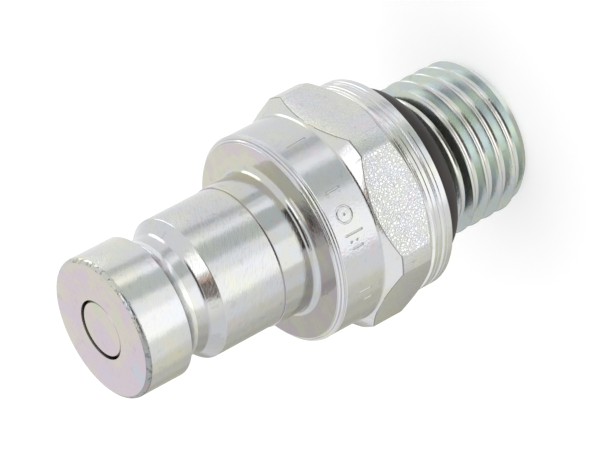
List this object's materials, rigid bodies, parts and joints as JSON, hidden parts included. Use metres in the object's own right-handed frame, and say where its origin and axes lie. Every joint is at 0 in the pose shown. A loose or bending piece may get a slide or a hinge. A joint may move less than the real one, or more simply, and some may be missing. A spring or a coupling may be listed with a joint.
{
  "type": "hydraulic diagnostic test coupling",
  "caption": "Male diagnostic test coupling: flush nose with a latching groove, collar, hexagon, flange with O-ring and a short straight threaded stud.",
  "frame": {"origin": "centre of the stud's end face, on the coupling's axis", "axes": "+Z along the axis from the stud to the nose; two of the hexagon's flats face +Y and -Y, and two of its corners +X and -X"},
  "size_m": [0.021, 0.019, 0.0405],
  "materials": {
    "zinc_steel": "turned, bright zinc plated and clear passivated, with a faint yellow and blue tint",
    "seal_rubber": "satin black nitrile rubber",
    "poppet_steel": "fine turned, zinc plated",
    "inner_rubber": "satin black nitrile rubber",
    "spring_steel": "bright drawn spring wire",
    "ring_steel": "dark phosphated spring steel"
  },
  "bodies": {
    "housing": {"body": "zinc_steel", "port_seal": "seal_rubber", "spring_seat": "poppet_steel", "retaining_ring": "ring_steel", "valve_spring": "spring_steel"},
    "valve": {"poppet": "poppet_steel", "poppet_seal": "inner_rubber"}
  },
  "joints": [
    {"name": "poppet_slide", "type": "slide", "parent": "housing", "child": "valve", "axis": [0, 0, -1], "range_m": [0, 0.0025], "stiffness_N_per_m": 2000, "springref_m": -0.0002, "deforming": ["valve_spring"]}
  ]
}
